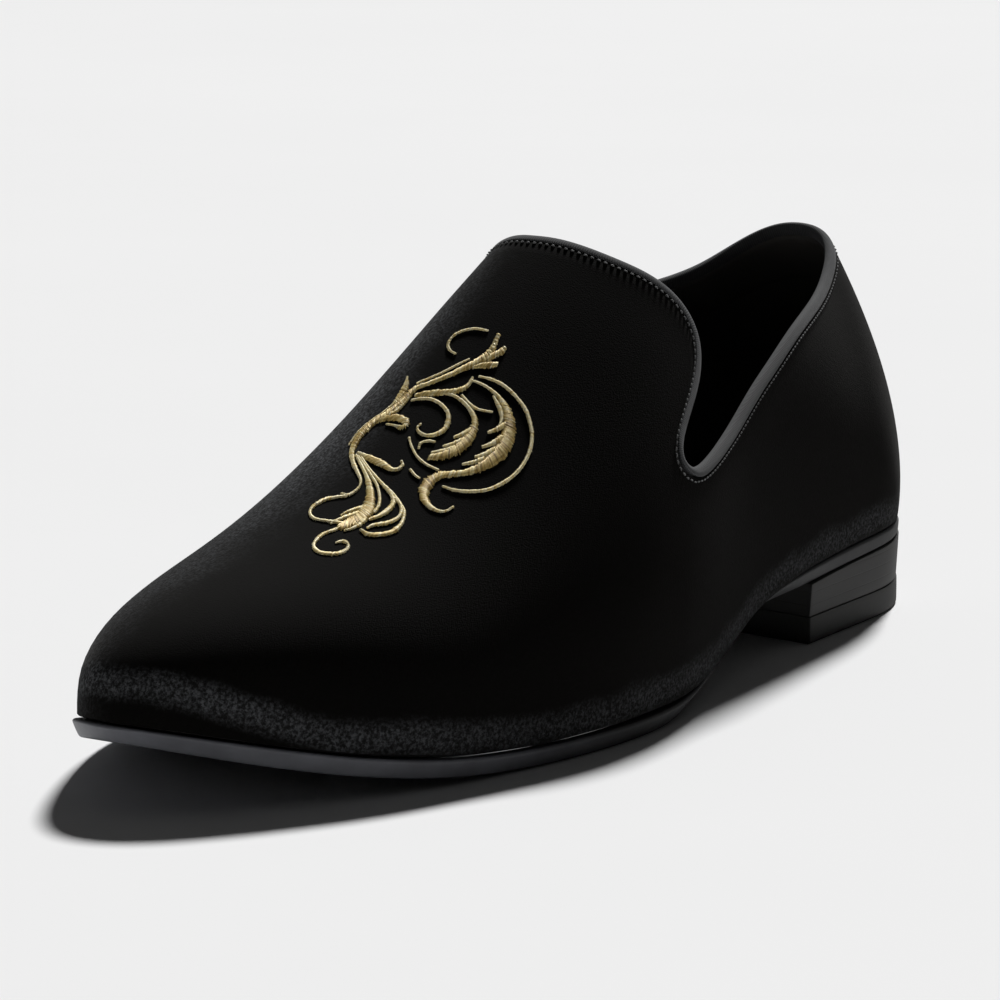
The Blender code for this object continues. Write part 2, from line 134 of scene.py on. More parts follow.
def skinned(name, rows, creased=(), levels=2):
    """A closed smooth skin through rows of points. Its map has metres along the foot and metres up the wall."""
    count, around = rows.shape[:2]
    i, j = np.meshgrid(np.arange(around), np.arange(count))
    corners = ((j, i), (j, i + 1), (j + 1, i + 1), (j + 1, i))
    quads = np.stack([a % count * around + b % around for a, b in corners], axis=-1).reshape(-1, 4)
    flat = rows.reshape(-1, 3)
    edges = flat[quads] - flat.mean(axis=0)
    volume = np.einsum("ij,ij->i", edges[:, 0], np.cross(edges[:, 1], edges[:, 2])).sum()
    turned = volume < 0
    mesh = bpy.data.meshes.new(name)
    mesh.from_pydata(flat.tolist(), [], (quads[:, ::-1] if turned else quads).tolist())
    middle = rows.mean(axis=0)
    along = np.append(0, np.linalg.norm(np.roll(middle, -1, axis=0) - middle, axis=1).cumsum())
    rises = np.linalg.norm(np.roll(rows, -1, axis=0) - rows, axis=2)
    climb = np.vstack([np.zeros(around), rises.cumsum(axis=0)])
    places = [np.stack([along[b], climb[a, b % around]], axis=-1) for a, b in corners]
    places = np.stack(places, axis=2).reshape(-1, 4, 2)
    if turned:
        places = places[:, ::-1]
    mesh.uv_layers.new(name="cut")
    mesh.uv_layers["cut"].data.foreach_set("uv", places.astype(np.float32).ravel())
    if creased:
        ends = np.empty(len(mesh.edges) * 2, int)
        mesh.edges.foreach_get("vertices", ends)
        row_of = (ends // around).reshape(-1, 2)
        sharp = (row_of[:, 0] == row_of[:, 1]) & np.isin(row_of[:, 0], creased)
        crease = mesh.attributes.new("crease_edge", "FLOAT", "EDGE")
        crease.data.foreach_set("value", sharp.astype(np.float32) * CREASE)
    mesh.shade_smooth()
    piece = bpy.data.objects.new(name, mesh)
    bpy.context.scene.collection.objects.link(piece)
    return smoothed(piece, levels)


def smoothed(piece, levels):
    """Subdivides a piece for good."""
    bpy.context.view_layer.objects.active = piece
    piece.select_set(True)
    rounding = piece.modifiers.new("rounding", "SUBSURF")
    rounding.levels = rounding.render_levels = levels
    bpy.ops.object.modifier_apply(modifier="rounding")
    piece.select_set(False)
    return piece


class Value:
    """An output of a finish's nodes. Sums written on it add Math nodes, and node() adds any other."""

    def __init__(self, tree, socket=None):
        self.tree, self.socket = tree, socket

    def node(self, kind, inputs=(), output=0, stops=(), **settings):
        made = self.tree.nodes.new(kind)
        for name, setting in settings.items():
            setattr(made, name, setting)
        for k, (place, colour) in enumerate(stops):
            stop = made.color_ramp.elements[k] if k < 2 else made.color_ramp.elements.new(place)
            stop.position, stop.color = place, (*colour, 1)
        for name, given in dict(inputs).items():
            if isinstance(given, Value):
                self.tree.links.new(given.socket, made.inputs[name])
            else:
                made.inputs[name].default_value = given
        return Value(self.tree, made.outputs[output])

    def sum(self, operation, *others, clamp=False):
        return self.node("ShaderNodeMath", dict(enumerate(others)), operation=operation, use_clamp=clamp)

    def __add__(self, other):
        return self.sum("ADD", self, other)

    __radd__ = __add__

    def __sub__(self, other):
        return self.sum("SUBTRACT", self, other)

    def __rsub__(self, other):
        return self.sum("SUBTRACT", other, self)

    def __mul__(self, other):
        return self.sum("MULTIPLY", self, other)

    __rmul__ = __mul__

    def __truediv__(self, other):
        return self.sum("DIVIDE", self, other)

    def clamped(self):
        return self.sum("ADD", self, 0.0, clamp=True)

    def between(self, low, high):
        """0 below low, 1 above high and smooth between them."""
        return self.node(
            "ShaderNodeMapRange",
            {"Value": self, "From Min": low, "From Max": high},
            interpolation_type="SMOOTHSTEP",
        )

    def mixed(self, low, high):
        """A colour between two others, by this value."""
        return self.node("ShaderNodeMix", {0: self, 6: (*low, 1), 7: (*high, 1)}, output=2, data_type="RGBA")

    def noise(self, place, scale, detail=2.0, roughness=0.5):
        words = {"Vector": place, "Scale": scale, "Detail": detail, "Roughness": roughness}
        return self.node("ShaderNodeTexNoise", words, output="Fac")

    def bump(self, height, strength, distance):
        return self.node("ShaderNodeBump", {"Height": height, "Strength": strength, "Distance": distance})

    def surface(self, **sockets):
        """Ends a finish with its shader. Underscores in the words stand for spaces."""
        given = {name.replace("_", " "): (*v, 1) if isinstance(v, tuple) else v for name, v in sockets.items()}
        shader = self.node("ShaderNodeBsdfPrincipled", given)
        end = self.tree.nodes.new("ShaderNodeOutputMaterial")
        self.tree.links.new(shader.socket, end.inputs["Surface"])


def new_finish(name):
    """An empty material and the start of its nodes."""
    material = bpy.data.materials.new(name)
    material.use_nodes = True
    material.node_tree.nodes.clear()
    return material, Value(material.node_tree)


def dress(piece, material, slot, *nodes):
    """Gives a piece its material, lets it ride, and hides the CAD nodes that it stands for. The slot is not used."""
    piece.data.materials.clear()
    piece.data.materials.append(material)
    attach(piece, "root")
    if nodes:
        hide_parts(*nodes)
    return piece


velvet, start = new_finish("velvet")
place = start.node("ShaderNodeTexCoord", output="Object")
height = start.node("ShaderNodeSeparateXYZ", {"Vector": start.node("ShaderNodeUVMap", uv_map="cut")}, output="Y")
forward = start.node("ShaderNodeSeparateXYZ", {"Vector": place}, output="X")
sideways = start.node("ShaderNodeSeparateXYZ", {"Vector": place}, output="Y")
tufts = start.noise(place, 1300, 3, 0.7)
fine = start.noise(place, 3200, 1, 0.5)
sheen_edge_noise = start.noise(place, 70, 3, 0.6)
# Painted sheen, in two bands. The one above the sole is higher and paler toward the toe. The one along the ridge
# starts at the tongue and fades toward the toe.
sheen_band_middle = SHEEN_BAND_MIDDLE + SHEEN_BAND_RISE * forward.between(0.222, 0.254) + (sheen_edge_noise - 0.5) * SHEEN_BAND_WAVER
painted_sheen_band = 1 - (start.sum("ABSOLUTE", height - sheen_band_middle) / SHEEN_BAND_REACH).between(0.15, 1.05)
painted_sheen_band = painted_sheen_band * (0.45 + 0.55 * forward.between(0.16, 0.25))
painted_ridge_sheen = 1 - (sideways + (sheen_edge_noise - 0.5) * RIDGE_SHEEN_WAVER).between(-0.018, 0.001)
painted_ridge_sheen = painted_ridge_sheen * sideways.between(-0.036, -0.022) * forward.between(0.055, 0.095)
painted_ridge_sheen = painted_ridge_sheen * (1 - 0.55 * forward.between(0.15, 0.20))
fleck = tufts.between(0.38, 0.72)
# The two band terms are painted sheen: pale flecks that lighten the base colour where light grazes the pile. The first,
# small fleck term alone is the pile's own speckle.
lift = 0.0012 * fleck + painted_sheen_band * (0.010 + 0.115 * fleck) + painted_ridge_sheen * (0.014 + 0.120 * fleck)
pile = start.bump(fine * 0.75 + tufts * 0.25, NAP_STRENGTH, NAP_LENGTH)
start.surface(
    Base_Color=lift.clamped().mixed((0.0048, 0.0044, 0.0039), (0.85, 0.88, 0.93)),
    Roughness=0.95,
    Specular_IOR_Level=0.03,
    Sheen_Weight=0.035,
    Sheen_Roughness=0.3,
    Sheen_Tint=(1.0, 0.98, 0.95),
    Normal=pile,
)

upper_rows = from_outer_foot(skin_rows("upper"))
outer, inner = upper_rows[: RIM + 1], upper_rows[RIM + 1 :][::-1]
rim_up = (outer[RIM] - outer[RIM - 1]) + (inner[RIM] - inner[RIM - 1])
rim_up /= np.linalg.norm(rim_up, axis=1, keepdims=True)
backing = outer + BACKING_SHARE * (inner - outer)
velvet_rows = np.concatenate([outer, backing[::-1]])
velvet_rows[RIM : RIM + 2] += RIM_LIFT * rim_up
upper = dress(skinned("velvet_upper", velvet_rows, creased=WALL_CORNERS), velvet, "velvet", "upper")
upper_tree = BVHTree.FromObject(upper, bpy.context.evaluated_depsgraph_get())

# --- Lining ----------------------------------------------------------------------------------------------------------
# Black sheepskin lining, cemented to the back of the velvet. A strip of it faces the topline inside and is stitched
# down along its lower edge, over the deeper quarter lining.

GLUE_SHARE = 0.06  # of the wall, between the velvet's backing and the lining
FACING_THICKNESS = 0.0005
FACING_LIFT = 0.00005  # of the facing off the lining, which keeps the two skins apart
FACING_EDGE = 0.0002  # by which its lower edge is pressed back to the lining
FACING_DEPTHS = (0.0, 0.003, 0.006, 0.009, 0.0116, 0.0125)

lining, start = new_finish("lining_leather")
place = start.node("ShaderNodeTexCoord", output="Object")
pores = start.node("ShaderNodeTexVoronoi", {"Vector": place, "Scale": 1100.0}, output="Distance")
soft = start.noise(place, 90, 3, 0.55)
start.surface(
    Base_Color=soft.mixed((0.045, 0.041, 0.037), (0.072, 0.066, 0.060)),
    Roughness=0.62 + 0.12 * soft,
    Specular_IOR_Level=0.35,
    Normal=start.bump(pores, 0.25, 0.0003),
)
lining_face = outer + (BACKING_SHARE + GLUE_SHARE) * (inner - outer)
lining_rows = np.concatenate([lining_face, inner[::-1]])
dress(skinned("quarter_lining", lining_rows, creased=WALL_CORNERS, levels=1), lining, "sock_lining")


def down_the_wall(rows, depth):
    """The points at a depth below the rim on each column of an open wall that runs from foot to rim."""
    found = np.empty(rows.shape[1:])
    for column in range(rows.shape[1]):
        wall = rows[::-1, column]
        run = np.concatenate([[0], np.cumsum(np.linalg.norm(np.diff(wall, axis=0), axis=1))])
        found[column] = [np.interp(depth, run, wall[:, axis]) for axis in range(3)]
    return found


inward = (inner - outer) / np.linalg.norm(inner - outer, axis=2, keepdims=True)
facing_back = np.array([down_the_wall(inner + FACING_LIFT * inward, d) for d in FACING_DEPTHS])
facing_front = np.array(
    [down_the_wall(inner + (FACING_LIFT + FACING_THICKNESS) * inward, d) for d in FACING_DEPTHS]
)
facing_front[-1] -= FACING_EDGE * inward[RIM // 2]
last = len(FACING_DEPTHS) - 1
facing_rows = np.concatenate([facing_back, facing_front[::-1]])
facing = skinned("collar_facing", facing_rows, creased=(0, last, last + 1, 2 * last + 1), levels=1)
dress(facing, lining, "sock_lining")

# --- Topline binding -------------------------------------------------------------------------------------------------
# A ribbed ribbon folded over the topline edge from heel to tongue and back. It stands up as a round bead, its inner
# fold lies flat on the lining, and one row of fine stitches holds it along the velvet.

BINDING_SECTION = (  # of the folded ribbon, in mm: away from the foot, and up from the middle of the bead
    (1.00, -1.72), (1.18, -1.66), (1.26, -1.10), (1.26, -0.40), (1.04, 0.34), (0.57, 0.76), (0.00, 0.88),
    (-0.57, 0.76), (-1.04, 0.34), (-1.24, -0.30), (-1.28, -0.90), (-1.24, -1.60), (-1.38, -2.20), (-1.40, -2.60),
    (-1.15, -2.70), (-1.00, -2.00), (-0.85, -1.40), (0.0, -1.20),
)
RIB_PITCH = 0.00055

ribbon, start = new_finish("ribbon")
place = start.node("ShaderNodeTexCoord", output="Object")
along = start.node("ShaderNodeSeparateXYZ", {"Vector": start.node("ShaderNodeUVMap", uv_map="cut")}, output="X")
ribs = start.sum("SINE", along * (math.tau / RIB_PITCH)) * 0.5 + 0.5
threads = start.noise(place, 2600, 1, 0.5)
worn = start.noise(place, 120, 3, 0.6)
start.surface(
    Base_Color=(worn * 0.35 + threads * 0.3 + ribs * 0.35).mixed((0.034, 0.034, 0.035), (0.092, 0.093, 0.095)),
    Roughness=0.8 + 0.15 * threads,
    Sheen_Weight=0.1,
    Sheen_Roughness=0.5,
    Specular_IOR_Level=0.15,
    Normal=start.bump(ribs * 0.7 + threads * 0.3, 0.55, 0.00018),
)


def filled_in(ring, steps=20):
    """A closed ring of points with more points between each two."""
    share = np.linspace(0, 1, steps, endpoint=False)[:, None]
    return np.concatenate([a + share * (b - a) for a, b in zip(ring, np.roll(ring, -1, axis=0))])


bead_rows = skin_rows("topline_binding")
bead_middle = bead_rows.mean(axis=0)
rim_outer, rim_inner = filled_in(outer[RIM]), filled_in(inner[RIM])
beside_bead = [np.linalg.norm((rim_outer + rim_inner) / 2 - p, axis=1).argmin() for p in bead_middle]
rim_outer, rim_inner = rim_outer[beside_bead], rim_inner[beside_bead]
rim_middle = (rim_outer + rim_inner) / 2
bead_up = bead_middle - rim_middle
bead_up /= np.linalg.norm(bead_up, axis=1, keepdims=True)
bead_out = rim_outer - rim_inner
bead_out -= bead_up * (bead_out * bead_up).sum(axis=1, keepdims=True)
bead_out /= np.linalg.norm(bead_out, axis=1, keepdims=True)
binding_rows = np.array([bead_middle + (bead_out * a + bead_up * b) / 1000 for a, b in BINDING_SECTION])
dress(skinned("topline_ribbon", binding_rows, levels=2), ribbon, "binding", "topline_binding")


THREAD_SIDES = 5
THREAD_END = 0.45  # of its full radius
THREAD_TAPER = 2.2


def thread_tubes(name, paths, normals, radius, tones):
    """Many short threads in one mesh. Each path has as many points as the next, and its ends are thinner."""
    count, steps = paths.shape[:2]
    sides = THREAD_SIDES
    heading = np.gradient(paths, axis=1)
    heading /= np.linalg.norm(heading, axis=2, keepdims=True)
    sideways = np.cross(normals, heading)
    sideways /= np.linalg.norm(sideways, axis=2, keepdims=True)
    lifted = np.cross(heading, sideways)
    from_end = np.minimum(np.linspace(0, 1, steps), np.linspace(1, 0, steps))
    taper = np.minimum(1, THREAD_END + THREAD_TAPER * from_end)
    turns = np.linspace(0, math.tau, sides, endpoint=False)
    across, upward = np.cos(turns)[:, None], np.sin(turns)[:, None]
    ring = radius * taper[None, :, None, None] * (across * sideways[:, :, None] + upward * lifted[:, :, None])
    points = (paths[:, :, None] + ring).reshape(-1, 3)
    t, s, k = np.meshgrid(np.arange(count), np.arange(steps - 1), np.arange(sides), indexing="ij")
    first = t * steps * sides + s * sides
    low, low_next = first + k, first + (k + 1) % sides
    quads = np.stack([low, low_next, low_next + sides, low + sides], axis=-1).reshape(-1, 4)
    ends = []
    for n in range(count):
        base = n * steps * sides
        ends.append(list(range(base + sides - 1, base - 1, -1)))
        ends.append(list(range(base + (steps - 1) * sides, base + steps * sides)))
    mesh = bpy.data.meshes.new(name)
    mesh.from_pydata(points.tolist(), [], quads.tolist() + ends)
    mesh.shade_smooth()
    tone = mesh.attributes.new("tone", "FLOAT", "POINT")
    tone.data.foreach_set("value", np.repeat(tones, steps * sides).astype(np.float32))
    piece = bpy.data.objects.new(name, mesh)
    bpy.context.scene.collection.objects.link(piece)
    return piece


def evenly(points, pitch, closed=True):
    """Points a pitch apart along a line."""
    line = np.vstack([points, points[:1]]) if closed else points
    run = np.concatenate([[0], np.cumsum(np.linalg.norm(np.diff(line, axis=0), axis=1))])
    stops = np.arange(0, run[-1], pitch)
    return np.stack([np.interp(stops, run, line[:, axis]) for axis in range(line.shape[1])], axis=1)


def laid_on(tree, points):
    """The nearest points on a skin, and the skin's normals there."""
    hits = [tree.find_nearest(Vector(p)) for p in points]
    return np.array([h[0][:] for h in hits]), np.array([h[1][:] for h in hits])


STITCH_PITCH = 0.0016
STITCH_LENGTH = 0.0009
STITCH_RADIUS = 0.00019
STITCH_ARCH = 0.00016  # by which its middle stands above its ends
STITCH_LIFT = 0.00005
STITCH_STEPS = 5
SEAM_DEPTH = 0.0006  # below the rim

binding_thread, start = new_finish("binding_thread")
twist = start.noise(start.node("ShaderNodeTexCoord", output="Object"), 2500, 1)
start.surface(
    Base_Color=twist.mixed((0.07, 0.07, 0.07), (0.18, 0.18, 0.18)),
    Roughness=0.7,
    Specular_IOR_Level=0.3,
    Normal=start.bump(twist, 0.3, 0.0002),
)
down = outer[RIM - 1] - outer[RIM]
seam = outer[RIM] + SEAM_DEPTH * down / np.linalg.norm(down, axis=1, keepdims=True)
stitch_middles = evenly(seam, STITCH_PITCH)
stitch_headings = np.roll(stitch_middles, -1, axis=0) - np.roll(stitch_middles, 1, axis=0)
stitch_headings /= np.linalg.norm(stitch_headings, axis=1, keepdims=True)
on_velvet, velvet_normals = laid_on(upper_tree, stitch_middles)
reach = np.linspace(-0.5, 0.5, STITCH_STEPS)[None, :, None]
lift = STITCH_LIFT + STITCH_ARCH * (1 - (2 * reach) ** 2)
stitch_paths = on_velvet[:, None] + STITCH_LENGTH * reach * stitch_headings[:, None] + lift * velvet_normals[:, None]
stitch_normals = np.repeat(velvet_normals[:, None], STITCH_STEPS, axis=1)
stitch_tones = np.zeros(len(stitch_paths))
stitches = thread_tubes("binding_stitches", stitch_paths, stitch_normals, STITCH_RADIUS, stitch_tones)
dress(stitches, binding_thread, "binding")

# --- Scroll embroidery -----------------------------------------------------------------------------------------------
# A traditional acanthus scroll on the vamp, worked by machine in gilt thread: satin stitches laid slanting over a low
# padding, pale on the fine lines and antique gold where the leaves swell.

THREAD_PITCH = 0.00032
THREAD_RADIUS = 0.00021
THREAD_STEPS = 8
THREAD_LIFT = 0.00004
OVERHANG = 0.6 * THREAD_RADIUS  # by which a thread's own thickness widens a stroke at each edge
LEAST_WIDTH = 0.0004
LEAST_REACH = 0.00022
LEAF_WIDTH = 0.0015  # a stroke wider than this is worked as a leaf, with more slanting threads
LEAF_SLANT = 0.55
LINE_SLANT = 0.35
PADDING = 0.00016
LEAF_PADDING = 0.00012  # more for a stroke of full width, and at most so many times that
FULL_WIDTH = 0.002
MOST_PADDING = 1.3
STROKE_STEP = 0.00001  # by which neighbouring strokes differ in padding, so that they don't lie in one plane
WIDTH_JITTER = 0.11
PADDING_JITTER = 0.00003
TONE_JITTER = 0.2
PALE_WIDTHS = (0.0010, 0.0026)  # between these widths the thread goes from pale to antique gold
PALE_TONES = (1.0, 0.5)
SCROLL = {  # each stroke: plan place along and across the shoe, and width, in mm
    "top_curl": (
        (135.0, 2.0, 0.6), (134.4, 0.2, 0.8), (133.2, -1.2, 0.9), (131.7, -1.7, 1.0), (130.2, -1.2, 1.0),
        (129.1, 0.4, 0.9), (128.4, 2.7, 0.8), (128.3, 5.9, 0.6),
    ),
    "stem_upper": (
        (144.1, -1.3, 1.6), (142.9, 0.6, 1.6), (141.5, 2.5, 1.7), (139.9, 4.4, 1.8), (138.2, 6.0, 2.0),
        (136.6, 7.7, 2.4), (134.9, 9.0, 2.5), (133.1, 9.7, 2.1), (131.3, 9.6, 1.6), (129.8, 9.2, 1.4),
        (128.3, 8.9, 1.3),
    ),
    "leaf_tip_b": ((134.7, 9.8, 2.2), (133.2, 10.9, 2.3), (132.0, 11.9, 2.0), (130.6, 12.2, 1.2)),
    "leaf_tip_c": ((137.2, 8.3, 1.1), (136.2, 10.0, 2.0), (135.5, 11.8, 2.2), (134.7, 13.1, 1.2)),
    "spine": (
        (143.5, -0.8, 1.3), (145.3, -2.3, 2.3), (147.5, -2.8, 2.4), (150.0, -3.7, 2.5), (152.0, -5.0, 2.4),
        (153.9, -6.5, 2.7), (156.2, -7.4, 2.6), (159.4, -7.2, 2.2), (162.8, -5.8, 1.5), (166.1, -3.0, 1.2),
        (168.8, 0.1, 1.0), (170.9, 2.4, 0.8), (172.8, 3.5, 0.8), (174.9, 3.5, 1.1), (176.2, 2.7, 1.2),
        (175.9, 0.9, 0.7),
    ),
    "spike": ((141.2, -6.4, 0.3), (143.6, -5.1, 1.7), (146.2, -4.5, 2.3), (148.6, -4.6, 1.8)),
    "spine_inner": ((146.4, -2.0, 1.1), (149.3, -2.3, 1.4), (151.3, -3.2, 1.8), (152.5, -4.7, 1.8)),
    "left_loop": (
        (176.5, 2.8, 1.1), (177.3, 0.7, 1.3), (178.7, -1.6, 1.6), (181.2, -2.5, 1.4), (183.8, -1.6, 0.8),
        (185.7, 0.8, 1.0), (186.0, 3.8, 1.1), (185.7, 6.8, 1.2), (185.7, 9.1, 1.5),
    ),
    "knob": (
        (156.3, -6.6, 1.5), (153.9, -6.5, 1.9), (152.9, -4.4, 2.2), (152.5, -1.9, 2.2), (152.9, 0.8, 1.9),
        (154.1, 2.4, 1.6), (154.8, 1.7, 1.8), (154.6, -0.3, 0.7), (154.4, -2.6, 0.4),
    ),
    "right_leaf": (
        (162.8, -4.1, 0.6), (163.9, -1.1, 1.6), (164.7, 1.8, 2.2), (165.5, 4.4, 1.8), (166.3, 7.1, 1.3),
        (165.8, 8.5, 1.4), (164.4, 8.7, 0.9), (163.4, 7.7, 0.5),
    ),
    "leaf_main": (
        (163.6, -4.1, 0.8), (166.6, -0.5, 0.9), (169.4, 2.8, 1.1), (172.1, 5.5, 1.7), (175.3, 8.1, 2.3),
        (178.7, 10.0, 3.2), (181.8, 10.4, 4.3), (184.3, 9.9, 4.7), (186.1, 8.9, 3.8), (186.9, 8.1, 2.1),
    ),
    "lobe_a": (
        (163.9, -3.3, 0.6), (166.5, 0.3, 0.7), (169.2, 4.0, 0.8), (171.6, 7.2, 0.8), (174.6, 10.0, 0.9),
        (177.2, 11.6, 1.0), (179.7, 12.1, 1.1),
    ),
    "lobe_b": (
        (164.1, -2.4, 0.6), (167.1, 1.8, 0.7), (169.9, 6.4, 0.8), (171.9, 10.1, 1.1), (173.7, 12.8, 1.1),
        (175.7, 14.1, 1.4), (177.9, 14.2, 1.7), (180.3, 13.6, 1.5), (182.1, 12.6, 1.0),
    ),
    "lobe_c": (
        (171.6, 9.9, 0.7), (173.3, 13.2, 0.9), (175.1, 15.9, 1.0), (177.4, 17.4, 1.0), (179.7, 17.3, 1.3),
        (181.7, 16.2, 1.6), (183.3, 14.6, 1.3), (185.0, 14.1, 0.9),
    ),
    "lobe_d": (
        (173.6, 13.2, 0.5), (175.5, 16.8, 0.8), (177.6, 18.4, 0.9), (180.2, 19.3, 1.2), (183.1, 19.1, 1.7),
        (185.3, 17.5, 1.8), (186.5, 15.6, 1.6), (186.0, 13.2, 0.8),
    ),
    "bottom_curl": (
        (186.7, 8.9, 1.2), (188.8, 8.1, 1.3), (190.8, 7.1, 1.3), (193.7, 7.3, 1.1), (196.2, 8.5, 1.0),
        (197.7, 10.8, 1.3), (197.4, 12.9, 1.6), (196.1, 14.6, 1.6), (193.8, 15.2, 1.2), (192.0, 14.3, 0.9),
        (191.5, 12.6, 1.4), (192.9, 11.7, 0.6),
    ),
    "inner_spiral": (
        (147.6, -0.7, 0.9), (146.9, 1.6, 1.1), (146.8, 4.3, 1.0), (147.6, 7.3, 1.0), (149.1, 9.9, 1.1),
        (151.2, 11.3, 1.4), (153.2, 11.5, 1.6), (154.8, 10.4, 1.5), (155.6, 8.7, 1.2), (155.2, 6.6, 0.9),
        (154.2, 5.4, 0.7), (153.1, 5.6, 0.4),
    ),
    "second_c": (
        (145.6, 0.7, 0.8), (144.9, 4.4, 0.9), (144.7, 8.0, 0.9), (145.4, 11.2, 1.0), (146.8, 14.4, 1.2),
        (148.6, 16.6, 1.6), (151.2, 17.6, 2.4), (153.9, 17.6, 3.0), (156.7, 16.8, 3.1), (158.9, 15.2, 2.8),
        (160.4, 13.0, 1.8),
    ),
    "second_curl": ((159.2, 9.3, 0.4), (157.8, 8.8, 0.8), (156.8, 10.0, 0.9), (156.5, 11.7, 0.5)),
    "band": (
        (139.5, 9.7, 0.6), (141.0, 9.9, 1.1), (142.6, 9.3, 1.7), (143.9, 7.4, 2.0), (144.9, 4.4, 2.2),
        (145.7, 1.2, 2.0), (146.3, -0.7, 1.3),
    ),
    "tendril": ((144.1, 10.1, 0.6), (145.2, 12.6, 0.8), (145.7, 14.8, 0.8), (145.4, 16.8, 0.8), (144.7, 18.7, 0.5)),
    "big_c": (
        (140.2, 9.7, 0.6), (140.2, 12.2, 0.8), (140.5, 15.0, 0.9), (141.2, 17.8, 1.2), (142.6, 20.6, 2.0),
        (144.7, 22.9, 2.7), (147.4, 24.4, 3.3), (150.6, 25.1, 3.7), (154.2, 24.7, 3.3), (157.5, 23.5, 2.5),
        (160.1, 21.9, 2.0), (162.1, 19.7, 2.1), (163.9, 17.7, 2.6), (166.4, 17.0, 3.0), (169.0, 17.5, 2.4),
        (171.2, 19.5, 1.8), (172.0, 22.1, 1.3), (171.1, 24.2, 0.8), (168.6, 25.0, 0.3),
    ),
    "outer_c": (
        (138.8, 11.0, 0.6), (138.4, 13.8, 0.9), (138.4, 17.1, 1.0), (139.1, 20.7, 1.0), (140.2, 23.9, 1.1),
        (142.0, 26.4, 1.0), (144.1, 28.3, 1.0), (146.9, 29.6, 1.0), (150.5, 30.2, 1.0), (154.2, 30.0, 1.0),
        (157.7, 29.1, 1.1), (160.8, 27.7, 1.1), (163.4, 25.3, 1.1), (165.1, 22.7, 1.0), (165.8, 19.9, 0.7),
    ),
    "big_c_tip": ((141.6, 16.6, 0.6), (143.4, 19.6, 1.3), (145.2, 21.2, 1.0), (147.0, 21.6, 0.5)),
    "big_lobe_a": ((145.6, 22.4, 1.6), (147.6, 21.6, 1.5), (149.4, 20.4, 0.9)),
    "big_lobe_b": ((148.6, 23.6, 2.0), (150.8, 22.7, 1.7), (152.8, 21.4, 1.0)),
    "big_lobe_c": ((151.8, 23.9, 2.0), (154.0, 22.8, 1.6), (155.8, 21.4, 1.0)),
    "big_lobe_d": ((155.0, 23.2, 1.6), (157.0, 21.9, 1.4), (158.7, 20.3, 0.9)),
    "second_lobe_a": ((150.6, 16.8, 1.5), (152.4, 15.9, 1.4), (154.0, 14.6, 0.8)),
    "second_lobe_b": ((153.4, 16.9, 1.8), (155.3, 15.6, 1.5), (156.8, 14.0, 0.8)),
    "second_lobe_c": ((156.4, 16.0, 1.6), (158.0, 14.4, 1.4), (159.2, 12.6, 0.8)),
    "leaf_lobe_a": ((178.6, 9.4, 1.6), (180.0, 7.6, 1.5), (181.8, 6.4, 0.9), (183.2, 6.0, 0.4)),
    "leaf_lobe_b": ((181.2, 9.0, 2.0), (183.2, 7.4, 1.6), (185.2, 6.3, 0.9), (186.6, 6.0, 0.4)),
    "leaf_lobe_c": ((182.0, 11.6, 1.8), (184.4, 11.9, 1.5), (186.6, 11.3, 0.9), (187.9, 10.4, 0.4)),
    "stem_outer": ((143.2, -2.4, 0.8), (141.4, 0.2, 0.8), (139.6, 2.4, 0.8), (137.7, 4.2, 0.8), (135.6, 6.2, 0.7)),
    "spine_outer": (
        (147.2, -4.4, 0.7), (149.8, -5.3, 0.8), (152.0, -6.6, 0.8), (154.3, -8.2, 0.8), (157.0, -8.8, 0.7),
        (160.2, -8.4, 0.5),
    ),
    "small_tendril": ((157.1, 5.3, 0.5), (159.0, 7.2, 0.6), (161.2, 10.2, 0.7), (162.4, 13.5, 0.8), (162.6, 16.8, 0.7)),
    "dash": ((165.0, 11.2, 0.4), (166.0, 13.1, 0.6), (166.4, 14.6, 0.4)),
}


def faired(points, pieces=12):
    """A smooth line through the points, by a Catmull-Rom spline."""
    padded = np.vstack([2 * points[0] - points[1], points, 2 * points[-1] - points[-2]])
    t = np.linspace(0, 1, pieces, endpoint=False)[:, None]
    line = []
    for a, b, c, d in zip(padded, padded[1:], padded[2:], padded[3:]):
        line.append(0.5 * (2 * b + (c - a) * t + (2 * a - 5 * b + 4 * c - d) * t**2 + (3 * b - a - 3 * c + d) * t**3))
    return np.vstack([*line, points[-1:]])


def dropped_on(tree, plan, start_height=0.3):
    """Plan points dropped on the skin from above."""
    return np.array([tree.ray_cast(Vector((x, y, start_height)), Vector((0, 0, -1)))[0][:] for x, y in plan])


gilt, start = new_finish("gilt_thread")
tone = start.node("ShaderNodeAttribute", output="Fac", attribute_name="tone")
place = start.node("ShaderNodeTexCoord", output="Object")
glint = start.noise(place, 1600, 2, 0.6)
shade = (tone * 0.9 + (glint - 0.5) * 0.6).clamped()
colour = shade.node(
    "ShaderNodeValToRGB",
    {"Fac": shade},
    stops=(
        (0.0, (0.22, 0.14, 0.05)),
        (0.4, (0.62, 0.43, 0.13)),
        (0.7, (0.90, 0.74, 0.33)),
        (1.0, (0.96, 0.88, 0.62)),
    ),
)
start.surface(
    Base_Color=colour,
    Metallic=0.12,
    Roughness=0.45,
    Specular_IOR_Level=0.3,
    Normal=start.bump(glint, 0.25, 0.0002),
)

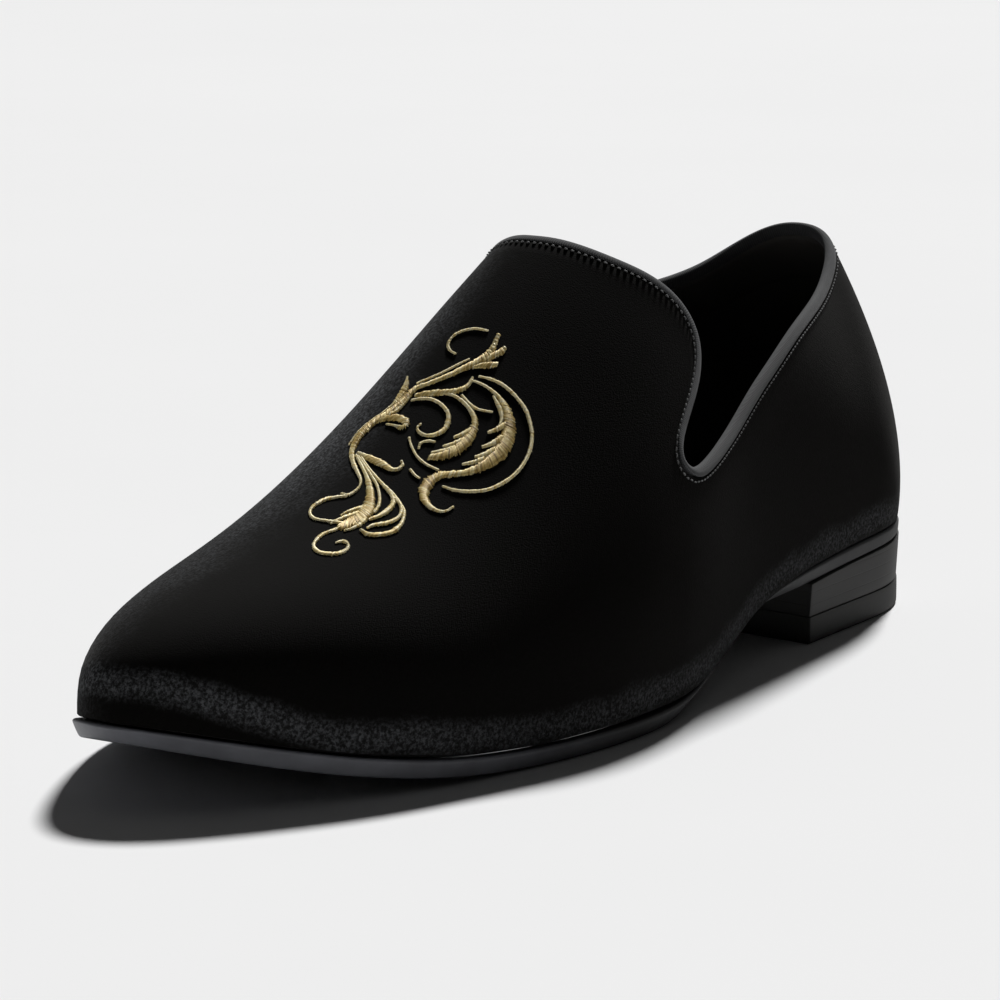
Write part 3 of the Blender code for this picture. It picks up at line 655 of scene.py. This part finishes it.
chance = np.random.default_rng(7)
thread_paths, thread_normals, thread_tones = [], [], []
for order, points in enumerate(SCROLL.values()):
    line = faired(np.array(points) / 1000)
    laid = np.column_stack([dropped_on(upper_tree, line[:, :2]), np.maximum(line[:, 2], LEAST_WIDTH)])
    stops = evenly(laid, THREAD_PITCH, closed=False)
    middles, widths = stops[:, :3], stops[:, 3]
    headings = np.gradient(middles, axis=0)
    headings /= np.linalg.norm(headings, axis=1, keepdims=True)
    _, normals = laid_on(upper_tree, middles)
    sides = np.cross(normals, headings)
    slant = np.where(widths > LEAF_WIDTH, LEAF_SLANT, LINE_SLANT)[:, None]
    half = np.maximum(widths / 2 - OVERHANG, LEAST_REACH) * (1 + chance.normal(0, WIDTH_JITTER, len(widths)))
    half = half[:, None]
    reach = np.linspace(-1, 1, THREAD_STEPS)
    flat = middles[:, None] + reach[None, :, None] * (half * (sides + slant * headings))[:, None]
    padding = PADDING + LEAF_PADDING * np.minimum(widths / FULL_WIDTH, MOST_PADDING) + STROKE_STEP * (order % 5)
    surface, lean = laid_on(upper_tree, flat.reshape(-1, 3))
    surface, lean = surface.reshape(flat.shape), lean.reshape(flat.shape)
    padding += chance.normal(0, PADDING_JITTER, len(widths))
    crown = padding[:, None] * np.clip(1 - np.abs(reach) ** 3 * 0.9, 0, 1)[None] ** 0.5
    thread_paths.append(surface + (THREAD_LIFT + crown)[:, :, None] * lean)
    thread_normals.append(lean)
    pale = np.interp(widths, PALE_WIDTHS, PALE_TONES)
    thread_tones.append(np.clip(pale + chance.normal(0, TONE_JITTER, len(widths)), 0, 1))
all_threads = [np.concatenate(x) for x in (thread_paths, thread_normals)]
scroll = thread_tubes("scroll_embroidery", *all_threads, THREAD_RADIUS, np.concatenate(thread_tones))
dress(scroll, gilt, "velvet")

# --- Insole and sock lining ------------------------------------------------------------------------------------------
# The insole board with its sock lining, a thin black leather cemented over its whole face. The lasted edge of the
# velvet is wrapped under it. It is bare of any stamp.

sock, start = new_finish("sock_leather")
place = start.node("ShaderNodeTexCoord", output="Object")
pores = start.node("ShaderNodeTexVoronoi", {"Vector": place, "Scale": 900.0}, output="Distance")
soft = start.noise(place, 70, 3, 0.55)
start.surface(
    Base_Color=soft.mixed((0.014, 0.013, 0.012), (0.028, 0.026, 0.025)),
    Roughness=0.55 + 0.15 * soft,
    Specular_IOR_Level=0.4,
    Normal=start.bump(pores, 0.3, 0.0003),
)


SEAM_HEIGHT = 0.010  # between the top and the bottom of the heel block
SOLE_EDGE = 0.0005  # the bevel of the insole board and of the sole


def rounded_copy(node, name, levels, edge, reach=0.0):
    """A CAD node's shape in quads, with its sharp edges bevelled by a small width and its sides made smooth. The heel
    block also reaches up and down, to close the seams beside it."""
    shape = bmesh.new()
    shape.from_mesh(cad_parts[node].data)
    bmesh.ops.remove_doubles(shape, verts=shape.verts, dist=WELD)
    bmesh.ops.join_triangles(
        shape,
        faces=shape.faces,
        angle_face_threshold=math.radians(30),
        angle_shape_threshold=math.pi,
        topology_influence=4,
    )
    for v in shape.verts:
        v.co.z += reach if v.co.z > SEAM_HEIGHT else -reach
    sharp = [e for e in shape.edges if e.calc_face_angle(0) > SHARP]
    bmesh.ops.bevel(
        shape,
        geom=sharp,
        offset=edge,
        offset_type="OFFSET",
        segments=2,
        profile=0.6,
        affect="EDGES",
        clamp_overlap=True,
    )
    mesh = bpy.data.meshes.new(name)
    shape.to_mesh(mesh)
    shape.free()
    mesh.shade_smooth()
    piece = bpy.data.objects.new(name, mesh)
    bpy.context.scene.collection.objects.link(piece)
    return smoothed(piece, levels)


dress(rounded_copy("insole", "sock_lining_board", 2, SOLE_EDGE), sock, "sock_lining", "insole")

# --- Outsole ---------------------------------------------------------------------------------------------------------
# One thin leather sole cemented on from toe to heel breast and on over the heel seat. Its edge is trimmed, rounded and
# dressed with blue-black edge ink, glossy at the forepart and duller behind it. From the forepart on, its colour is
# also painted pale, a painted highlight for the light on the glossy edge. Its underside is stained over a fine grain.

sole_finish, start = new_finish("sole_leather")
place = start.node("ShaderNodeTexCoord", output="Object")
grain = start.node("ShaderNodeTexVoronoi", {"Vector": place, "Scale": 700.0}, output="Distance")
clouds = start.noise(place, 45, 4, 0.6)
# Painted highlight: toward the toe the colour is painted pale and cloudy, standing in for light on the glossy inked
# edge. The blue-black tint is the ink's own.
forepart_painted_highlight = start.node("ShaderNodeSeparateXYZ", {"Vector": place}, output="X").between(0.14, 0.20)
start.surface(
    Base_Color=(clouds * forepart_painted_highlight).mixed((0.026, 0.026, 0.027), (0.23, 0.236, 0.265)),
    Roughness=0.62 - 0.2 * forepart_painted_highlight + 0.2 * clouds,
    Specular_IOR_Level=0.5,
    Normal=start.bump(grain, 0.12, 0.0003),
)
dress(rounded_copy("outsole", "leather_sole", 2, SOLE_EDGE), sole_finish, "sole_leather", "outsole")

# --- Heel block ------------------------------------------------------------------------------------------------------
# A low heel built of stacked leather lifts, nailed through the seat, sanded flush and inked black. The joins between
# the lifts still show as faint level lines.

LIFT_HEIGHT = 0.0031
HEEL_EDGE = 0.0002  # the bevel of the block and of the top piece
HEEL_REACH = 0.00026  # into the seams above and below the block

stack, start = new_finish("stacked_leather")
place = start.node("ShaderNodeTexCoord", output="Object")
up = start.node("ShaderNodeSeparateXYZ", {"Vector": place}, output="Z")
lifts = start.sum("FRACT", up / LIFT_HEIGHT)
joins = start.sum("ABSOLUTE", lifts - 0.5).between(0.44, 0.5)
clouds = start.noise(place, 60, 4, 0.6)
start.surface(
    Base_Color=clouds.mixed((0.022, 0.022, 0.021), (0.040, 0.039, 0.038)),
    Roughness=0.5 + 0.2 * clouds,
    Specular_IOR_Level=0.22,
    Normal=start.bump(joins * -1.0 + clouds * 0.1, 0.25, 0.0002),
)
dress(rounded_copy("heel_block", "heel_stack", 1, HEEL_EDGE, reach=HEEL_REACH), stack, "heel_stack", "heel_block")

# --- Heel top piece --------------------------------------------------------------------------------------------------
# The rubber top piece that takes the wear, cemented and pinned under the heel block and trimmed with it.

rubber, start = new_finish("heel_rubber")
place = start.node("ShaderNodeTexCoord", output="Object")
dust = start.noise(place, 1200, 3, 0.6)
start.surface(
    Base_Color=dust.mixed((0.020, 0.020, 0.019), (0.040, 0.040, 0.038)),
    Roughness=0.6 + 0.15 * dust,
    Specular_IOR_Level=0.25,
    Normal=start.bump(dust, 0.2, 0.0002),
)
dress(rounded_copy("heel_top_piece", "rubber_top_piece", 1, HEEL_EDGE), rubber, "heel_rubber", "heel_top_piece")

# --- Studio ----------------------------------------------------------------------------------------------------------
# A pale seamless floor, one lamp high behind the heel and a faint glow of the room on the same side. The camera looks
# at the shoe from its toe and outer side.

FLOOR_SIZE = 30
ROOM_LIGHT = 0.017
ROOM_GLOW = 0.07
BRIGHT_SIDE = Vector((-0.50, -0.30, 0.81))
LAMP_FROM = Vector((-0.95, -0.34, 1.00))
LAMP_ENERGY = 4.45
LAMP_WIDTH = math.radians(8)
MIDDLE = Vector((0.115, 0, 0.043))
EYE = Vector((1.0683, 0.6552, 0.2544))
LENS = 190

bpy.ops.mesh.primitive_plane_add(size=FLOOR_SIZE, location=(0, 0, 0))
floor = bpy.context.object
floor.name = "studio_floor"
paper, start = new_finish("paper")
fibres = start.noise(start.node("ShaderNodeTexCoord", output="Object"), 3.0, 4, 0.6)
start.surface(Base_Color=fibres.mixed((0.80, 0.80, 0.80), (0.83, 0.83, 0.83)), Roughness=0.9, Specular_IOR_Level=0.1)
floor.data.materials.append(paper)

scene = bpy.context.scene
scene.view_settings.view_transform = "Standard"
scene.world = bpy.data.worlds.new("studio")
scene.world.use_nodes = True
scene.world.node_tree.nodes.clear()
sky = Value(scene.world.node_tree)
towards = sky.node("ShaderNodeTexCoord", output="Generated")
facing_it = sky.node("ShaderNodeVectorMath", {0: towards, 1: BRIGHT_SIDE}, output="Value", operation="DOT_PRODUCT")
glow = sky.node("ShaderNodeBackground", {"Strength": ROOM_LIGHT + facing_it.between(0.2, 1.0) * ROOM_GLOW})
end = scene.world.node_tree.nodes.new("ShaderNodeOutputWorld")
scene.world.node_tree.links.new(glow.socket, end.inputs["Surface"])

bpy.ops.object.light_add(type="SUN", rotation=LAMP_FROM.to_track_quat("Z", "Y").to_euler())
lamp = bpy.context.object
lamp.name = "key_lamp"
lamp.data.energy = LAMP_ENERGY
lamp.data.angle = LAMP_WIDTH

bpy.ops.object.camera_add(location=EYE)
camera = bpy.context.object
camera.rotation_mode = "QUATERNION"
camera.rotation_quaternion = (MIDDLE - EYE).to_track_quat("-Z", "Y")
camera.data.lens = LENS
camera.data.sensor_width = 36
scene.camera = camera
